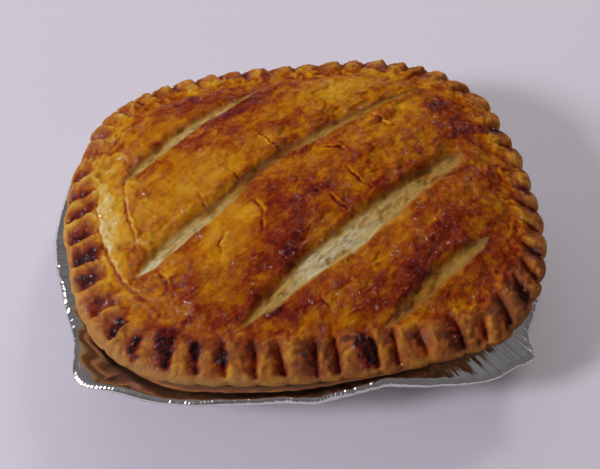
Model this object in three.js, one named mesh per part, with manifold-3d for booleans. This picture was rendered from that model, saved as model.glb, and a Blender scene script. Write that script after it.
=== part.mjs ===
// A family steak pie in its foil tray.
// Millimetres, +Z up, the long way of the pie along X and its front towards -Y.
// The origin is on the table, under the middle of the tray and crust.
// A solid base of pastry and filling sits in the tray, and a crimped and slashed pastry lid lies on it.

import * as THREE from 'three';
import { mergeVertices } from 'three/addons/utils/BufferGeometryUtils.js';
import Module from 'manifold-3d';

// Gap kept between pieces that touch
const touchGap = 0.3;

// Plan of the crust: a rounded oblong, with places where the hand-trimmed edge bulges or draws in.
// Angles in degrees, counter-clockwise from +X.
const crust = {
  halfLength: 95,
  halfWidth: 78.5,
  squareness: 2.95,
  middle: [0, 0],
  bulges: [
    { at: -52, spread: 8, out: 2.2 },
    { at: -113, spread: 12, out: -1.5 },
    { at: 178, spread: 8, out: 2.0 },
    { at: 151, spread: 6, out: -2.3 },
    { at: 62, spread: 12, out: 1.2 },
    { at: 20, spread: 6, out: -3.0 },
  ],
};

// Crimps pressed round the edge by hand: each one's width, counter-clockwise from the front left corner
const crimp = {
  firstGroove: 225.6,
  widths: [
    10, 10, 13, 12, 13, 13, 9, 12, 11, 12, 14, 9, 13, 12, 10, 11, 12, 11,
    11, 12, 12, 10, 12, 14, 12, 11, 9, 10, 11, 10, 11, 11, 12, 13, 11, 10,
    11, 10, 9, 9, 10, 10, 12, 12, 10, 10, 11, 11, 12, 13, 14, 12,
  ],
  columnsEach: 4,
  bandWidth: 16,
  bandLead: 3,
  depth: 2.8,
  scallop: 1.5,
  roundness: 0.7,
  ridgeShare: 0.35,
};

// Foil tray: pleated wall, flat flange and a rim turned down at the edge.
// Its front corners are pulled out, its front edge waves a little and its left side leans out.
const tray = {
  halfLength: 96,
  halfWidth: 77,
  squareness: 3,
  middle: [-2, -1],
  bulges: [
    { at: -141.5, spread: 6.5, out: 8.5 },
    { at: -130.5, spread: 8, out: 2.5 },
    { at: -92.5, spread: 6, out: 2 },
    { at: -77, spread: 5, out: -2 },
    { at: -55.5, spread: 10, out: 8.5 },
    { at: -48, spread: 3, out: 5.5 },
    { at: 178, spread: 14, out: 3.5 },
  ],
  height: 28,
  foil: 0.5,
  flangeWidth: 9,
  wallLean: 10,
  baseRadius: 3,
  lipDrop: 3.5,
  lipFold: 1,
  pleats: 80,
  wallPleat: 0.6,
  flangePleat: 0.25,
  wallBulge: 0.5,
};

// Pastry base: stands in the tray, and its edge shows under the lid along the front left
const base = {
  wallClearance: 0.9,
  rimClearance: 1.2,
  rimThickness: 6,
  rimProfile: [
    { inward: 3, share: 0 },
    { inward: 0.7, share: 0.25 },
    { inward: 0, share: 0.55 },
    { inward: 0.6, share: 0.85 },
    { inward: 2.4, share: 1 },
  ],
  tuckedIn: 4,
  showingIn: 0.5,
  showingAt: -112,
  showingSpread: 34,
  columns: 104,
};

// Pastry lid: a domed crust on a flat seam.
// Its rings go up the rounded edge, in over the crimps, and then over the dome with fewer columns.
const lid = {
  edgeThickness: 4.5,
  edgeProfile: [
    { inward: 2.5, share: 0 },
    { inward: 0.5, share: 0.2 },
    { inward: 0, share: 0.55 },
  ],
  crimpRings: [0.07, 0.28, 0.53, 0.78, 1],
  outerDome: [0.7, 0.56],
  innerDome: [0.42, 0.27, 0.13],
  rise: 19.5,
  domePower: 2.3,
  valleyDepth: 0.9,
  valleyWidth: 4,
  blisterHeight: 0.7,
  blisterLength: 34,
};

// Slashes cut through the glazed skin before baking, nearly all one way.
// turn is a cut's direction in degrees, across its offset from the middle, from and to run along it,
// and width is its opening.
const slashes = [
  { turn: 35, across: 52.5, from: -48, to: 22, width: 4.5, depth: 2.4 },
  { turn: 33, across: 9.5, from: -71, to: 75, width: 6, depth: 2.8 },
  { turn: 36, across: -29, from: -53, to: 60, width: 9.5, depth: 3.2 },
  { turn: 33, across: -64, from: -14, to: 40, width: 5.5, depth: 2.4 },
];
// Floor's share of the opening, sideways flare of the walls for each mm up, and how blunt the ends are
const slashFloor = 0.5;
const slashFlare = 0.5;
const slashTaper = 0.6;
const slashSteps = 16;
const slashHeadroom = 5;

// Fineness of the crust's outline when its crimps are laid out, and of the edges left by cutting
const outlineSteps = 2880;
const shortestEdge = 0.02;

// Heights that follow from the pieces lying on each other
const baseRimZ = tray.height + base.rimClearance;
const baseTopZ = baseRimZ + base.rimThickness;
const seamZ = baseTopZ + touchGap;
const lidEdgeZ = seamZ + lid.edgeThickness;

const wasm = await Module();
wasm.setup();

// Bell curve round an angle, 1 at its middle
function bell(degrees, at, spread) {
  const away = THREE.MathUtils.euclideanModulo(degrees - at + 180, 360) - 180;
  return Math.exp(-((away / spread) ** 2));
}

// Point of a rounded oblong's outline at an angle, moved inward, with a share of its bulges
function outlinePoint(shape, degrees, inward = 0, bulgeShare = 1) {
  const turn = THREE.MathUtils.degToRad(degrees);
  const cos = Math.cos(turn);
  const sin = Math.sin(turn);
  const sum = Math.abs(cos) ** shape.squareness + Math.abs(sin) ** shape.squareness;
  const radius = sum ** (-1 / shape.squareness);
  const x = (shape.halfLength - inward) * radius * cos;
  const y = (shape.halfWidth - inward) * radius * sin;
  const point = new THREE.Vector2(x, y);
  let out = 0;
  for (const bulge of shape.bulges) {
    out += bulge.out * bell(degrees, bulge.at, bulge.spread);
  }
  point.setLength(point.length() + bulgeShare * out);
  return point.add(new THREE.Vector2(...shape.middle));
}

// Columns of the crimped edge: their angles, and how far up from groove to ridge each one is
function crimpColumns() {
  const count = outlineSteps;
  const angles = Array.from({ length: count + 1 }, (_, i) => crimp.firstGroove + (360 * i) / count);
  const points = angles.map((degrees) => outlinePoint(crust, degrees));
  const lengths = [0];
  for (let i = 1; i <= count; i++) {
    lengths.push(lengths[i - 1] + points[i].distanceTo(points[i - 1]));
  }
  const total = crimp.widths.reduce((sum, width) => sum + width, 0);
  const columns = [];
  let start = 0;
  for (const width of crimp.widths) {
    for (let k = 0; k < crimp.columnsEach; k++) {
      const share = k / crimp.columnsEach;
      const along = ((start + share * width) / total) * lengths[count];
      const index = lengths.findIndex((length) => length >= along);
      const ridge = Math.sin(Math.PI * share) ** crimp.roundness;
      columns.push({ degrees: angles[index], ridge });
    }
    start += width;
  }
  return columns;
}

// Closed solid through rings, with a point at the first and the last ring's middle.
// A ring has as many columns as the one before it, or a whole fraction of them.
function ringSolid(rings, firstPole, lastPole) {
  const positions = [firstPole, ...rings.flat(), lastPole].flatMap((point) => point.toArray());
  const faces = [];
  let start = 1;
  rings[0].forEach((_, i) => faces.push(0, start + ((i + 1) % rings[0].length), start + i));
  rings.forEach((ring, r) => {
    const inner = rings[r + 1] ?? [lastPole];
    const innerStart = start + ring.length;
    const step = ring.length / inner.length;
    ring.forEach((_, i) => {
      const next = (i + 1) % ring.length;
      const under = innerStart + Math.floor(i / step);
      const underNext = innerStart + Math.floor(next / step);
      faces.push(start + i, start + next, under);
      if (underNext !== under) faces.push(start + next, underNext, under);
    });
    start = innerStart;
  });
  const geometry = new THREE.BufferGeometry();
  geometry.setAttribute('position', new THREE.Float32BufferAttribute(positions, 3));
  geometry.setIndex(faces);
  geometry.computeVertexNormals();
  return geometry;
}

// Solid for cutting, made from a closed geometry
function manifoldOf(geometry) {
  const vertProperties = new Float32Array(geometry.getAttribute('position').array);
  const triVerts = new Uint32Array(geometry.getIndex().array);
  return new wasm.Manifold(new wasm.Mesh({ numProp: 3, vertProperties, triVerts }));
}

// Geometry of a cut solid, with its shortest edges closed up
function geometryOf(manifold) {
  const mesh = manifold.getMesh();
  const cut = new THREE.BufferGeometry();
  cut.setAttribute('position', new THREE.Float32BufferAttribute(mesh.vertProperties, 3));
  cut.setIndex(new THREE.Uint32BufferAttribute(mesh.triVerts, 1));
  const geometry = mergeVertices(cut, shortestEdge);
  const corners = Array.from(geometry.getIndex().array);
  const faces = [];
  for (let i = 0; i < corners.length; i += 3) {
    const face = corners.slice(i, i + 3);
    if (new Set(face).size === 3) faces.push(...face);
  }
  geometry.setIndex(faces);
  geometry.computeVertexNormals();
  return geometry;
}

// Height of the smooth dome over a place: highest in the middle, and falling faster towards the edge
function domeAt(x, y) {
  const across = Math.abs(x / crust.halfLength) ** crust.squareness;
  const deep = Math.abs(y / crust.halfWidth) ** crust.squareness;
  const share = (across + deep) ** (1 / crust.squareness);
  return lidEdgeZ + lid.rise * (1 - share ** lid.domePower);
}

// Low, wide blisters of the risen crust
function blisterAt(x, y) {
  const k = (2 * Math.PI) / lid.blisterLength;
  return lid.blisterHeight * Math.sin(k * (x + 0.4 * y)) * Math.sin(k * (0.9 * y - 0.3 * x) + 1);
}

// One ring of the lid's top at a distance in from the edge, pressed by the crimps
function crimpedRing(columns, inward) {
  const fade = Math.max(1 - inward / crimp.bandWidth, 0);
  const band = Math.sin((Math.PI * (inward + crimp.bandLead)) / (crimp.bandWidth + crimp.bandLead));
  const valley = lid.valleyDepth * Math.exp(-(((inward - crimp.bandWidth) / lid.valleyWidth) ** 2));
  return columns.map(({ degrees, ridge }) => {
    const notch = crimp.scallop * (1 - ridge) * fade;
    const point = outlinePoint(crust, degrees, inward + notch);
    const press = crimp.depth * (ridge - 1 + crimp.ridgeShare) * band;
    return new THREE.Vector3(point.x, point.y, domeAt(point.x, point.y) + press - valley);
  });
}

// One ring of the dome at a share of the way out, with its blisters
function domeRing(columns, share) {
  return columns.map(({ degrees }) => {
    const { x, y } = outlinePoint(crust, degrees).multiplyScalar(share);
    return new THREE.Vector3(x, y, domeAt(x, y) + blisterAt(x, y));
  });
}

// One ring round the lid's edge, at a distance in and a height over the seam
function edgeRing(columns, inward, height) {
  return columns.map(({ degrees, ridge }) => {
    const { x, y } = outlinePoint(crust, degrees, inward + crimp.scallop * (1 - ridge));
    return new THREE.Vector3(x, y, seamZ + height);
  });
}

// Boat-shaped cutter for one slash: widest in the middle, pointed at both ends, its floor under the dome
function slashCutter(slash) {
  const turn = THREE.MathUtils.degToRad(slash.turn);
  const along = new THREE.Vector2(Math.cos(turn), Math.sin(turn));
  const sideways = new THREE.Vector2(-along.y, along.x);
  const place = (distance, offset) =>
    new THREE.Vector2().addScaledVector(along, distance).addScaledVector(sideways, slash.across + offset);
  const pointOver = ({ x, y }, z) => new THREE.Vector3(x, y, z);
  const endPoint = (distance) => {
    const end = place(distance, 0);
    return pointOver(end, domeAt(end.x, end.y) + slashHeadroom / 2);
  };
  const sections = [];
  for (let i = 1; i < slashSteps; i++) {
    const share = i / slashSteps;
    const swell = Math.sin(Math.PI * share) ** slashTaper;
    const distance = THREE.MathUtils.lerp(slash.from, slash.to, share);
    const middle = place(distance, 0);
    const surface = domeAt(middle.x, middle.y);
    const opening = (slash.width / 2) * swell;
    const floor = opening * slashFloor;
    const roof = opening + slashHeadroom * slashFlare;
    const floorZ = surface - slash.depth * swell;
    const roofZ = surface + slashHeadroom;
    sections.push([
      pointOver(place(distance, -floor), floorZ),
      pointOver(place(distance, floor), floorZ),
      pointOver(place(distance, roof), roofZ),
      pointOver(place(distance, -roof), roofZ),
    ]);
  }
  return ringSolid(sections, endPoint(slash.from), endPoint(slash.to));
}

// Pastry lid: flat under, a rounded crimped edge, a dome with blisters and the slashes cut into it
function pastryLid() {
  const columns = crimpColumns();
  const half = columns.filter((_, i) => i % 2 === 0);
  const quarter = columns.filter((_, i) => i % 4 === 0);
  const rings = [
    ...lid.edgeProfile.map(({ inward, share }) => edgeRing(columns, inward, share * lid.edgeThickness)),
    ...lid.crimpRings.map((share) => crimpedRing(columns, share * crimp.bandWidth)),
    ...lid.outerDome.map((share) => domeRing(half, share)),
    ...lid.innerDome.map((share) => domeRing(quarter, share)),
  ];
  const under = new THREE.Vector3(0, 0, seamZ);
  const crown = new THREE.Vector3(0, 0, domeAt(0, 0) + blisterAt(0, 0));
  let solid = manifoldOf(ringSolid(rings, under, crown));
  for (const slash of slashes) {
    solid = solid.subtract(manifoldOf(slashCutter(slash)));
  }
  return geometryOf(solid);
}

// Ring of the tray at a distance in from its rim.
// The pleats go in and out on the wall, and up and down on the flange.
function trayRing(inward, z, { wall = 0, flange = 0, bulge = 1 }) {
  const count = 2 * tray.pleats;
  return Array.from({ length: count }, (_, i) => {
    const side = i % 2 === 0 ? 1 : -1;
    const { x, y } = outlinePoint(tray, (360 * i) / count, inward - side * wall, bulge);
    return new THREE.Vector3(x, y, z + side * flange);
  });
}

// Foil tray: one thin sheet from the middle of the floor out to the folded lip, and back along its inside
function foilTray() {
  const top = tray.height;
  const wallTop = tray.flangeWidth;
  const wallFoot = tray.flangeWidth + tray.wallLean;
  const floorEdge = wallFoot + tray.baseRadius;
  const floor = { bulge: 0 };
  const foot = { wall: tray.wallPleat, bulge: 0 };
  const shoulder = { wall: tray.wallPleat, flange: tray.flangePleat, bulge: tray.wallBulge };
  const edge = { flange: tray.flangePleat };
  const rings = [
    trayRing(floorEdge, 0, floor),
    trayRing(wallFoot, tray.baseRadius, foot),
    trayRing(wallTop, top - tray.foil, shoulder),
    trayRing(tray.lipFold, top - tray.foil, edge),
    trayRing(tray.lipFold, top - tray.lipDrop, {}),
    trayRing(0, top - tray.lipDrop, {}),
    trayRing(0, top, edge),
    trayRing(wallTop + tray.foil, top, shoulder),
    trayRing(wallFoot + tray.foil, tray.baseRadius, foot),
    trayRing(floorEdge + tray.foil, tray.foil, floor),
  ];
  const under = new THREE.Vector3(...tray.middle, 0);
  const inside = new THREE.Vector3(...tray.middle, tray.foil);
  return ringSolid(rings, under, inside);
}

// Ring of the base that follows the tray's wall
function baseWallRing(inward, z) {
  return Array.from({ length: base.columns }, (_, i) => {
    const { x, y } = outlinePoint(tray, (360 * i) / base.columns, inward, 0);
    return new THREE.Vector3(x, y, z);
  });
}

// Ring of the base's rim under the lid, tucked in except along the front left
function baseRimRing(inward, z) {
  return Array.from({ length: base.columns }, (_, i) => {
    const degrees = (360 * i) / base.columns;
    const showing = bell(degrees, base.showingAt, base.showingSpread);
    const tuck = THREE.MathUtils.lerp(base.tuckedIn, base.showingIn, showing);
    const { x, y } = outlinePoint(crust, degrees, tuck + inward);
    return new THREE.Vector3(x, y, z);
  });
}

// Pastry base: fills the tray, with a rounded rim that spreads over the flange
function pastryBase() {
  const clear = tray.foil + tray.wallPleat + base.wallClearance;
  const wallTop = tray.flangeWidth + clear;
  const wallFoot = wallTop + tray.wallLean;
  const floorZ = tray.foil + touchGap;
  const rimRings = base.rimProfile.map(({ inward, share }) =>
    baseRimRing(inward, baseRimZ + share * base.rimThickness),
  );
  const rings = [
    baseWallRing(wallFoot + tray.baseRadius, floorZ),
    baseWallRing(wallFoot, floorZ + tray.baseRadius),
    baseWallRing(wallTop, baseRimZ),
    ...rimRings,
  ];
  const under = new THREE.Vector3(...tray.middle, floorZ);
  const over = new THREE.Vector3(0, 0, baseTopZ);
  return ringSolid(rings, under, over);
}

// Named mesh with its own finish
function piece(name, geometry, finish) {
  const mesh = new THREE.Mesh(geometry, new THREE.MeshStandardMaterial(finish));
  mesh.name = name;
  return mesh;
}

const pie = new THREE.Group();
pie.add(piece('foil_tray', foilTray(), { color: '#c4c2c0', roughness: 0.3, metalness: 1 }));
pie.add(piece('pastry_base', pastryBase(), { color: '#c79a5c', roughness: 0.7, metalness: 0 }));
pie.add(piece('pastry_lid', pastryLid(), { color: '#ad6a1c', roughness: 0.35, metalness: 0 }));

// The whole is placed with the middle of its box over the origin
const middle = new THREE.Box3().setFromObject(pie).getCenter(new THREE.Vector3());
pie.position.set(-middle.x, -middle.y, 0);

export default pie;
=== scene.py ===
"""A family steak pie in its foil tray, dressed for the studio picture.

The solids of the frame are stood for by finer surfaces: the glazed lid with its crimps, slashes and
flakes, the base crust under it, and the creased foil tray. Shapes are worked out in millimetres in the
pie's own plan, with the middle of the crust at 0, 0 and the front towards -y, and go into the frame's
metres with the mesh.
"""

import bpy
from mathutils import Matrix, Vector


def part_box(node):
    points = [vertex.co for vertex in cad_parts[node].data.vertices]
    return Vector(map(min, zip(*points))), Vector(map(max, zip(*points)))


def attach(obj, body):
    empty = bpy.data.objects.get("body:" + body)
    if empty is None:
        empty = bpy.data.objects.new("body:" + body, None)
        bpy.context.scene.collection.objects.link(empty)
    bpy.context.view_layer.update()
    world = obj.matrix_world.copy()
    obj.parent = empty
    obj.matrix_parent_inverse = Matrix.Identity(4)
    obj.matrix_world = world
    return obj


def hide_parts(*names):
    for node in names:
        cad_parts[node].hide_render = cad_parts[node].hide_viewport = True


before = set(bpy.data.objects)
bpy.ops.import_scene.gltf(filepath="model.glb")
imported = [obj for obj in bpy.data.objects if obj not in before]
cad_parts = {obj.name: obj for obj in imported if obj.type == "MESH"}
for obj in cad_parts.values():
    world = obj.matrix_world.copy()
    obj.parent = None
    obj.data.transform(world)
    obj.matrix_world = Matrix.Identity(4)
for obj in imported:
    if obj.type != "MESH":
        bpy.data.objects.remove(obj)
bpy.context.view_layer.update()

from types import SimpleNamespace

import bpy
import numpy as np
from mathutils import Vector

MM = 0.001

# Plans of the crust and the tray: rounded oblongs whose edge bulges or draws in. A bulge is the angle
# of its middle, its spread, both in degrees counter-clockwise from +x, and its reach in mm.
CRUST = dict(
    half_length=95,
    half_width=78.5,
    squareness=2.95,
    middle=(0, 0),
    bulges=((-52, 8, 2.2), (-113, 12, -1.5), (178, 8, 2.0), (151, 6, -2.3), (62, 12, 1.2), (20, 6, -3.0)),
)
TRAY = dict(
    half_length=96,
    half_width=77,
    squareness=3,
    middle=(-2, -1),
    bulges=(
        (-141.5, 6.5, 8.5),
        (-130.5, 8, 2.5),
        (-92.5, 6, 2),
        (-77, 5, -2),
        (-55.5, 10, 8.5),
        (-48, 3, 5.5),
        (178, 14, 3.5),
    ),
)

# For noise round the pie: length to a degree of the crust, and radius of about the tray's size
ROUND_A_DEGREE = 1.5
NOISE_RADIUS = 92

# Heights, from the frame's own boxes where it gives them
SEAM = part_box("pastry_lid")[0].z / MM
EDGE_THICKNESS = 4.5
LID_EDGE = SEAM + EDGE_THICKNESS
BASE_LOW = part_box("pastry_base")[0].z / MM
BASE_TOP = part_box("pastry_base")[1].z / MM
FLANGE = 28.0
FOIL = 0.5

# Crimps pressed round the lid's edge by hand: each one's width, counter-clockwise from the front left,
# the angle of the first groove, the columns of points to a crimp, and the width of the crimped band
CRIMP_WIDTHS = (
    16, 11, 11, 11, 11, 12, 8, 14, 8, 11, 14, 9, 13, 14, 10, 11, 12, 11,
    11, 12, 12, 10, 12, 14, 12, 11, 9, 10, 11, 10, 11, 11, 12, 13, 11, 10,
    11, 10, 9, 9, 10, 10, 12, 12, 10, 10, 11, 11, 12, 13, 14, 12,
)
FIRST_GROOVE = 225.6
CRIMP_COLUMNS = 14
CRIMP_BAND = 16

# One crimp: how far in its scallop fades out, radius of its outer end, power that leans its tip, where
# its crest lies from groove to groove and the power of its fall from there. Then the groove's half
# width, depth, swing in degrees and waver, and the farthest that a place is from one.
SCALLOP_FADE = 7
CRIMP_END_RADIUS = 3
CRIMP_LEAN = 1.4
CREST_AT = 0.2
CREST_FALL = 1.6
GROOVE_HALF = 0.7
GROOVE_DEPTH = 0.8
GROOVE_SWING = 12
GROOVE_WAVER = 0.8
GROOVE_FARTHEST = 20.0

# How the crimped rim changes round the pie, by angle: the way that the grooves run inward in degrees,
# their length, the height of the ridges between them, how far the edge draws in at them, the width of
# the plain margin outside them, the browning of the ridges, how much each crimp darkens down its slope
# to the next groove, partly glaze that ran down and pools there and partly painted shade on the
# crimp's shaded flank, and the browning of the border inside
RIM_VALUES = ("angle", "turn", "length", "ridge", "scallop", "margin", "browning", "pooled", "border")
RIM = np.array([
    (-180, 9, 14, 2.3, 0.5, 1.2, 0.32, 0.42, 0.19),
    (-165, 3, 14, 2.3, 0.5, 2.0, 0.35, 0.44, 0.21),
    (-150, 15, 12, 2.0, 0.6, 3.4, 0.43, 0.36, 0.38),
    (-135, 50, 12, 2.2, 0.7, 3.8, 0.47, 0.28, 0.55),
    (-120, 80, 13, 2.8, 0.7, 2.8, 0.49, 0.28, 0.57),
    (-105, 92, 14, 3.0, 0.6, 1.8, 0.52, 0.26, 0.54),
    (-90, 96, 14, 3.0, 0.8, 1.2, 0.53, 0.24, 0.50),
    (-70, 101, 13, 3.0, 1.0, 1.0, 0.54, 0.24, 0.50),
    (-55, 98, 12, 3.0, 1.2, 1.0, 0.54, 0.28, 0.55),
    (-42, 117, 11, 3.0, 1.5, 1.1, 0.54, 0.28, 0.58),
    (-30, 140, 10, 2.8, 2.3, 1.0, 0.48, 0.28, 0.57),
    (0, 175, 9, 2.6, 2.8, 0.8, 0.45, 0.24, 0.53),
    (35, 190, 9, 2.6, 3.4, 0.8, 0.44, 0.18, 0.49),
    (60, 238, 10, 2.6, 3.0, 0.8, 0.46, 0.17, 0.46),
    (90, 270, 9, 2.4, 2.4, 0.8, 0.46, 0.16, 0.44),
    (120, 292, 9, 2.4, 3.0, 0.8, 0.45, 0.16, 0.44),
    (140, 325, 9, 2.4, 3.2, 0.9, 0.40, 0.18, 0.39),
    (152, 350, 10, 2.4, 2.2, 1.0, 0.38, 0.24, 0.36),
    (165, 370, 11, 2.3, 1.2, 1.1, 0.34, 0.34, 0.24),
    (180, 369, 14, 2.3, 0.5, 1.2, 0.32, 0.42, 0.19),
])

# Thin glaze that ran over the edge: the most of it, and the widths of plain margin that have all or none
RUN_OVER = 0.55
NARROW_MARGIN = 1
WIDE_MARGIN = 2.6

# Side of the lid, from the inside of the seam out and up to the top's first ring: distance in, and
# share of that ring's height over the seam
EDGE_PROFILE = ((22, 0), (8, 0), (2.6, 0), (1.3, 0.1), (0.5, 0.25), (0.05, 0.45), (0, 0.68), (0.12, 0.9))

# Rings of the lid's top: the first one's distance in, how many there are in the crimped band, in the
# outer dome and in the inner dome, and the scale at which the inner dome starts
FIRST_RING = 0.45
CRIMP_RINGS = 27
OUTER_RINGS = 60
INNER_RINGS = 66
INNER_SCALE = 0.54

# Dome of the lid, the valley between it and the crimps, and how the panels between the slashes puff up
DOME_RISE = 19.5
DOME_POWER = 2.3
DOME_SINK = 0.9
VALLEY_DEPTH = 0.9
VALLEY_WIDTH = 4
PUFF = 1.7
PUFF_REACH = 9

# Slashes: direction in degrees, offset across, start and end along it, depth, the width of the far wall,
# browned and darkened with painted shade, and of the lip on the near side, how yellow that lip is, then
# the line's sideways bend, the floor's width and its browning at shares of the way along
SLASHES = (
    dict(
        turn=34.4, across=52.2, start=-49, end=22, depth=2.4, wall=3.2, lip=1.2, yellow=0.2,
        bend=((0, 0.3), (0.5, 1.4), (1, 0.5)),
        widths=((0, 0.5), (0.1, 3), (0.35, 4.8), (0.6, 3.8), (0.85, 2.2), (1, 0.4)),
        browned=((0, 0.4), (0.1, 0.25), (0.8, 0.25), (1, 0.4)),
    ),
    dict(
        turn=33.3, across=9.4, start=-72, end=76, depth=3, wall=4.2, lip=1.6, yellow=0.3,
        bend=((0, 2), (0.1, 2.8), (0.28, 2.5), (0.37, 5), (0.52, 5.6), (0.7, 3.5), (0.85, 2.2), (1, 0.3)),
        widths=(
            (0, 1), (0.05, 4), (0.15, 5.4), (0.3, 3.6), (0.4, 2.4),
            (0.5, 2.4), (0.62, 3.4), (0.8, 2.2), (1, 0.4),
        ),
        browned=(
            (0, -0.1), (0.08, 0.12), (0.2, 0.2), (0.3, 0.32),
            (0.37, 0.68), (0.5, 0.7), (0.6, 0.46), (1, 0.5),
        ),
    ),
    dict(
        turn=34.8, across=-29, start=-57, end=59, depth=2.9, wall=3.2, lip=2.2, yellow=0.8,
        bend=((0, -0.3), (0.3, -1), (0.42, -2.3), (0.55, -2.2), (0.75, -1.5), (1, -0.8)),
        widths=(
            (0, 0.5), (0.1, 3.6), (0.3, 6.6), (0.42, 9), (0.53, 9),
            (0.65, 7.6), (0.75, 6), (0.95, 5.4), (1, 1.5),
        ),
        browned=((0, 0.45), (0.15, 0.28), (0.28, 0.06), (0.45, 0.08), (0.6, 0.24), (0.8, 0.34), (1, 0.46)),
    ),
    dict(
        turn=34.5, across=-64.4, start=-19, end=38, depth=1.9, wall=2.6, lip=1.8, yellow=0.6,
        bend=((0, 0), (1, 0.5)),
        widths=((0, 0.5), (0.2, 2.6), (0.5, 3.8), (0.85, 3), (1, 0.5)),
        browned=((0, 0.65), (0.25, 0.62), (0.45, 0.48), (0.7, 0.4), (1, 0.5)),
    ),
)

# Edges of puffed panels and torn flakes: points along each, the step's height, how far it reaches back,
# and how much browner the raised side is. That is the side to the left of the way along it.
FLAKES = (
    (((-29, 60), (-48, 57), (-62, 50), (-71, 40), (-82, 27)), 1.8, 22, 0),
    (((-70, 17), (-70.5, 5), (-69.5, -6), (-66, -20)), 1.6, 22, 0),
    (((-60, -30), (-56.5, -37), (-55.5, -46), (-47, -54)), 1.7, 22, 0),
    (((-24, -4), (-19, -10), (-17, -16), (-18, -22), (-20, -28)), 1.8, 6, 0.16),
    (((-20, -28), (-14, -33.5), (-7, -38)), 1.6, 6, 0.16),
    (((-24.5, 0.5), (-26.5, 5), (-29.5, 9.5)), 0.8, 5, 0),
    (((-42, 0), (-39.5, -4.5), (-37.5, -7.5)), 0.7, 4, 0),
    (((10.5, 14.5), (16, 12.5), (18.5, 9)), 0.9, 4, 0.06),
    (((17, 3), (21, -4), (26, -9)), 1.4, 5, 0.1),
    (((8, -10), (13, -15.5), (17, -18)), 0.9, 4, 0.06),
    (((33.5, 31), (36.5, 26), (39, 23)), 0.9, 5, 0),
    (((-6, 13), (-11, 20), (-16, 27)), 0.7, 4, 0),
    (((-32, -21), (-36, -26), (-35, -31)), 0.6, 4, 0),
    (((-1, -49), (-0.5, -52), (1.5, -55)), 0.7, 4, 0),
    (((-82, 14), (-81, 0), (-80, -11), (-77, -22), (-73, -32), (-65, -41)), 1.6, 12, -0.06),
)

# Looks of the lid's surface that its material reads, each from 0 to about 1
LOOKS = ("browning", "dough", "glaze", "gloss")

# Browning, from 0 for raw dough to 1 for black: that of the skin, the darkest that it gets, how much
# darker burnt places may be, that of the base, and how much darker painted shade makes the seam between
# lid and base and the base's rim low down
SKIN_BROWNING = 0.5
DARKEST_BROWNING = 0.84
CHARRED_BROWNING = 0.1
BASE_BROWNING = 0.52
PAINTED_SHADE_BROWNING = 0.45

# Directions, in degrees, of the brush strokes in the glaze and of the fibres of bare dough
STREAK_TURN = 33
FIBRE_TURN = 34

# Places of the skin lighter or darker than the rest, as ellipses: middle x and y, half sizes, direction
# of the long way in degrees, and the change from the skin's own browning
PATCHES = (
    (-50, 6, 24, 15, 15, -0.1),
    (-42, -8, 9, 5, 33, -0.07),
    (-38, -30, 8, 6, 20, -0.1),
    (-33, -17, 15, 9, 30, -0.17),
    (-77, 4, 30, 7, 90, -0.24),
    (22, 49, 24, 10, 15, -0.16),
    (45, 33, 12, 7, 33, -0.07),
    (-62, -16, 10, 8, -60, -0.09),
    (-60, 31, 6, 4, 33, -0.1),
    (-42, 20, 11, 7, 30, 0.06),
    (-38, 56, 13, 4, 12, 0.19),
    (-21, 45, 14, 4.5, 35, 0.2),
    (-30, 34, 10, 7, 35, 0.13),
    (4, 24, 10, 5, 33, 0.06),
    (-10, -29, 8, 6, 40, 0.11),
    (-4, -14, 9, 11, 60, 0.06),
    (3, -3, 11, 8, 0, 0.16),
    (-24, -44, 9, 5, 35, 0.12),
    (44, 1, 15, 3.5, 35, 0.04),
    (-40, -54, 16, 5, -12, 0.16),
    (-12, -56, 11, 5, -5, 0.17),
    (9, -60, 6, 3.5, 0, -0.2),
    (16, -54, 10, 5, 10, 0.11),
    (-26, -51, 11, 4, 0, 0.1),
    (33, -45, 13, 5, 34, 0.22),
    (48, -34, 12, 5, 34, 0.09),
    (24, -40, 9, 5, 34, 0.08),
    (54, -18, 9, 7, 20, 0.17),
    (72, -2, 10, 13, 90, 0.07),
    (74, -34, 9, 8, 30, 0.17),
    (56, -57, 14, 6, 20, 0.12),
    (66, 32, 15, 8, -55, 0.17),
    (70, 20, 10, 5, 25, 0.08),
)

# Burnt places: crimps where the glaze pooled, and blistered edges, as ellipses in the same way
BURNS = (
    (-7, 69, 2, 6, 0, 0.4),
    (-74, 62.5, 2, 2, 0, 0.4),
    (90, -6.5, 3.6, 2.6, 10, 0.4),
    (92, -17, 4, 1.3, 0, 0.25),
    (85, -37, 5, 3, 20, 0.2),
    (86, 25.5, 3, 2.6, 20, 0.26),
    (75, 24, 9, 3, 10, 0.18),
    (76, -54, 3.2, 5, 25, 0.24),
    (-86, -25, 6, 1.9, -5, 0.2),
)

# Burnt blisters that stand up from the rim: middle x and y, half sizes, direction, and height in mm
BLISTERS = (
    (12.5, -71, 3.8, 5.5, 0, 2.4),
    (-75.5, -48.5, 4, 3, 30, 1.2),
    (-70.7, -58.3, 2.2, 4.5, -20, 1.3),
    (-58.5, -58.5, 5.5, 5, -10, 1.2),
    (-60, -65, 2.6, 3.5, 0, 0.8),
    (-48.5, -62.5, 2.4, 3.4, 0, 1.0),
    (-38.5, -66, 1.6, 4.5, 0, 0.8),
)
BLISTER_BROWNING = 0.3

# Base crust: columns round it, its rounded rim, its wall inside the tray as distances in and heights,
# how far in its flat top starts, and where its rim shows under the lid
BASE_COLUMNS = 720
BASE_RIM_RINGS = 17
BASE_RIM_ROUND = 3
BASE_RIM_LOW = FLANGE + 1.2
BASE_WALL = ((24, BASE_LOW), (21, BASE_LOW + 3), (11, BASE_RIM_LOW))
BASE_TOP_INSET = 14
BASE_SHOWING = dict(at=-112, spread=34, tucked_in=4, showing_in=0.5)

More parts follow.
